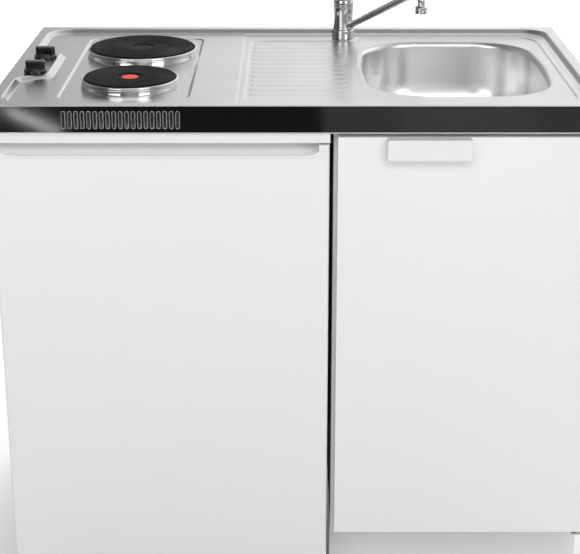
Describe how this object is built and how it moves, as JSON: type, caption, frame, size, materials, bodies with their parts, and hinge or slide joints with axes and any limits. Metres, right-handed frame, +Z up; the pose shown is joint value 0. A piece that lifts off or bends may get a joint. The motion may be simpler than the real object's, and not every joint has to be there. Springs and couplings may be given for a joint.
{
  "type": "kitchenette unit with sink and hob",
  "caption": "Compact kitchen unit: pressed steel worktop with sink, mixer tap and electric hotplates over a refrigerator and a sink cabinet.",
  "frame": {"origin": "on the floor, at the middle of the footprint (worktop plus the door handle's projection)", "axes": "+X to the right seen from the front, +Y from the front to the back, +Z up"},
  "size_m": [1, 0.616, 1.0068],
  "materials": {
    "worktop_steel": "satin",
    "bowl_steel": "satin",
    "fascia_black": "gloss",
    "cast_iron": "matt",
    "ring_steel": "polished",
    "marker_red": "satin",
    "zinc_steel": "satin",
    "regulator_case": "matt",
    "spindle_steel": "machined",
    "knob_black": "satin",
    "box_plastic": "matt",
    "black_plastic": "matt",
    "waste_steel": "polished",
    "white_pipe": "satin",
    "tap_chrome": "polished",
    "tap_brass": "machined",
    "copper_tail": "satin",
    "board_white": "melamine",
    "foot_plastic": "matt",
    "door_white": "melamine",
    "handle_white": "satin",
    "hinge_steel": "zinc plated",
    "fridge_sheet": "satin",
    "foam": "foamed",
    "liner_white": "gloss",
    "trim_white": "satin",
    "gasket_grey": "matt",
    "clear_plastic": "clear",
    "shelf_glass": "clear",
    "compressor_black": "satin"
  },
  "bodies": {
    "unit": {"worktop": "worktop_steel", "sink_bowl": "bowl_steel", "front_fascia": "fascia_black", "rear_hotplate": "cast_iron", "front_hotplate": "cast_iron", "rear_hotplate_ring": "ring_steel", "front_hotplate_ring": "ring_steel", "rapid_marker": "marker_red", "hotplate_clamps": "zinc_steel", "rear_regulator": "regulator_case", "front_regulator": "regulator_case", "terminal_box": "box_plastic", "mains_gland": "black_plastic", "waste_flange": "waste_steel", "bottle_trap": "white_pipe", "waste_pipe": "white_pipe", "overflow_grille": "waste_steel", "overflow_pipe": "white_pipe", "tap_base": "tap_chrome", "tap_core": "tap_brass", "tap_dome": "tap_chrome", "tap_nut": "tap_brass", "tap_tails": "copper_tail", "cabinet_left_side": "board_white", "cabinet_right_side": "board_white", "cabinet_bottom": "board_white", "cabinet_back": "board_white", "cabinet_rails": "board_white", "cabinet_plinth": "board_white", "cabinet_feet": "foot_plastic", "cabinet_hinges": "hinge_steel", "fridge_shell": "fridge_sheet", "fridge_foam": "foam", "fridge_liner": "liner_white", "fridge_trim": "trim_white", "fridge_hinges": "hinge_steel", "fridge_shelves": "shelf_glass", "crisper": "clear_plastic", "thermostat_housing": "trim_white", "compressor": "compressor_black", "fridge_feet": "foot_plastic"},
    "fridge_door": {"fridge_door_skin": "fridge_sheet", "fridge_door_foam": "foam", "fridge_door_liner": "liner_white", "fridge_door_grip": "trim_white", "fridge_gasket": "gasket_grey", "fridge_door_racks": "clear_plastic"},
    "cabinet_door": {"cabinet_door": "door_white", "cabinet_handle": "handle_white"},
    "rear_knob": {"rear_knob": "knob_black", "rear_spindle": "spindle_steel"},
    "front_knob": {"front_knob": "knob_black", "front_spindle": "spindle_steel"},
    "tap_spout": {"tap_spout": "tap_chrome", "tap_aerator": "tap_chrome"},
    "tap_spindle": {"tap_spindle": "spindle_steel"},
    "tap_lever": {"tap_lever": "tap_chrome"},
    "thermostat_dial": {"thermostat_dial": "trim_white"},
    "strainer": {"strainer": "waste_steel"}
  },
  "joints": [
    {"name": "fridge_door_hinge", "type": "hinge", "parent": "unit", "child": "fridge_door", "pos_m": [0.037, -0.277, 0.44], "axis": [0, 0, 1], "range_deg": [0, 110]},
    {"name": "cabinet_door_hinge", "type": "hinge", "parent": "unit", "child": "cabinet_door", "pos_m": [0.491, -0.284, 0.48], "axis": [0, 0, 1], "range_deg": [0, 110]},
    {"name": "rear_knob_turn", "type": "hinge", "parent": "unit", "child": "rear_knob", "pos_m": [-0.453, 0.04, 0.9], "axis": [0, 0, 1], "continuous": true},
    {"name": "front_knob_turn", "type": "hinge", "parent": "unit", "child": "front_knob", "pos_m": [-0.453, -0.07, 0.9], "axis": [0, 0, 1], "continuous": true},
    {"name": "tap_spout_swivel", "type": "hinge", "parent": "unit", "child": "tap_spout", "pos_m": [0.088, 0.254, 0.92], "axis": [0, 0, 1], "range_deg": [-85, 40]},
    {"name": "tap_lever_turn", "type": "hinge", "parent": "unit", "child": "tap_spindle", "pos_m": [0.088, 0.254, 0.93], "axis": [0, 0, 1], "range_deg": [-45, 45]},
    {"name": "tap_lever_lift", "type": "hinge", "parent": "tap_spindle", "child": "tap_lever", "pos_m": [0.088, 0.254, 0.96], "axis": [-1, 0, 0], "range_deg": [0, 25]},
    {"name": "thermostat_turn", "type": "hinge", "parent": "unit", "child": "thermostat_dial", "pos_m": [-0.018, -0.122, 0.788], "axis": [0, -1, 0], "range_deg": [0, 270]},
    {"name": "strainer_lift", "type": "slide", "parent": "unit", "child": "strainer", "axis": [0, 0, 1], "range_m": [0, 0.2]}
  ]
}
